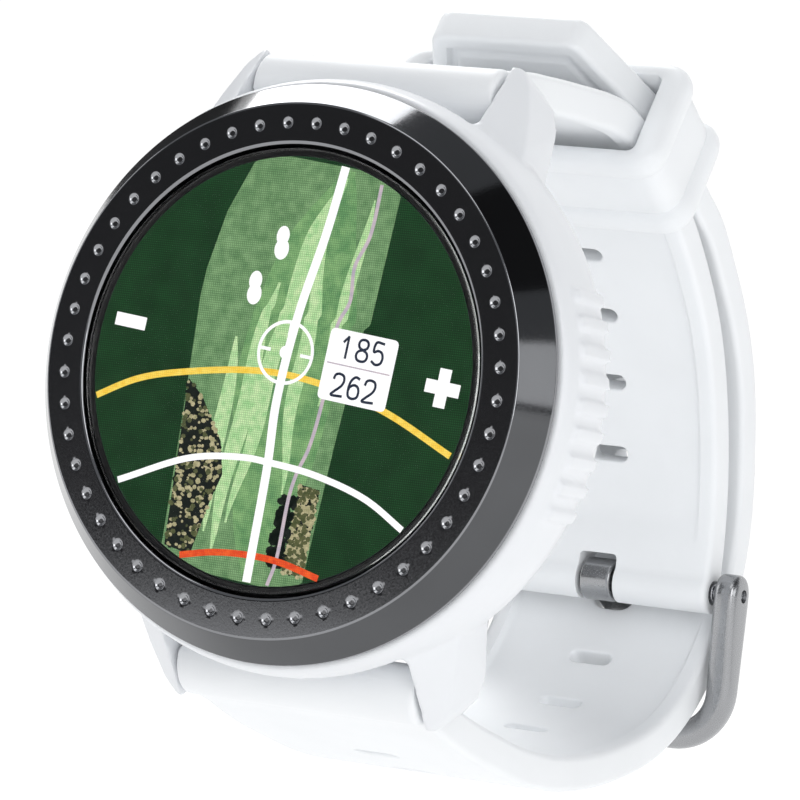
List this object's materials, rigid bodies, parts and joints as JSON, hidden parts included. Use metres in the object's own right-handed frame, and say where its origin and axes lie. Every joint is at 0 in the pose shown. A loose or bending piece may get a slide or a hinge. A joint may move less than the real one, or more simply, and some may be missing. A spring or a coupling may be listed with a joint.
{
  "type": "golf gps watch",
  "caption": "Round golf GPS watch with a dotted metal bezel, colour course map display, horned white case and a buckled white rubber strap with keeper.",
  "frame": {"origin": "centre of the bounding box in X and Y, at the lowest point of the strap", "axes": "+X towards 3 o'clock, +Y from the display into the watch and on to the buckle, +Z towards 12 o'clock; the display faces -Y"},
  "size_m": [0.0464, 0.0664, 0.0613],
  "materials": {
    "case_white": "satin moulded white polymer",
    "strap_white": "matt white silicone rubber",
    "bezel_black": "polished black coated steel",
    "glass": "clear mineral glass",
    "display": "lit colour display",
    "seal_black": "black rubber or adhesive",
    "inner_plastic": "dark moulded plastic",
    "board_green": "green solder mask",
    "flex_amber": "amber polyimide film",
    "cell_silver": "aluminium pouch and foil",
    "contact_gold": "gold plated",
    "steel": "satin stainless steel"
  },
  "bodies": {
    "watch": {"mid_case": "case_white", "bezel_ring": "bezel_black", "bezel_gasket": "seal_black", "cover_glass": "glass", "glass_adhesive": "seal_black", "display_module": "display", "display_frame": "inner_plastic", "display_flex": "flex_amber", "main_board": "board_green", "gps_antenna": "cell_silver", "battery": "cell_silver", "vibration_motor": "steel", "side_switch": "inner_plastic", "back_cover": "case_white", "back_gasket": "seal_black", "back_screw_1": "steel", "back_screw_2": "steel", "back_screw_3": "steel", "back_screw_4": "steel", "charging_contact_1": "contact_gold", "charging_contact_2": "contact_gold", "charging_contact_3": "contact_gold", "charging_contact_4": "contact_gold", "button_seal": "seal_black", "upper_lug_bar": "steel", "lower_lug_bar": "steel", "buckle_bar": "steel", "buckle_strap": "strap_white", "tail_strap": "strap_white"},
    "button": {"power_button": "steel", "button_clip": "steel"},
    "keeper_loop": {"keeper": "strap_white"},
    "buckle": {"buckle_frame": "steel"},
    "prong": {"buckle_prong": "steel"}
  },
  "joints": [
    {"name": "button_press", "type": "slide", "parent": "watch", "child": "button", "axis": [1, 0, 0], "range_m": [0, 0.0006], "stiffness_N_per_m": 1500, "springref_m": -0.0003},
    {"name": "keeper_slide", "type": "slide", "parent": "watch", "child": "keeper_loop", "axis": [0, 0.866, -0.5], "range_m": [0, 0.005]},
    {"name": "buckle_hinge", "type": "hinge", "parent": "watch", "child": "buckle", "pos_m": [0.0001, 0.02642, 0.01757], "axis": [1, 0, 0], "range_deg": [0, 8]},
    {"name": "prong_hinge", "type": "hinge", "parent": "watch", "child": "prong", "pos_m": [0.0001, 0.02642, 0.01757], "axis": [1, 0, 0], "range_deg": [0, 8]}
  ],
  "couplings": [
    {"joint": "prong_hinge", "follows": "buckle_hinge", "ratio": 1}
  ]
}
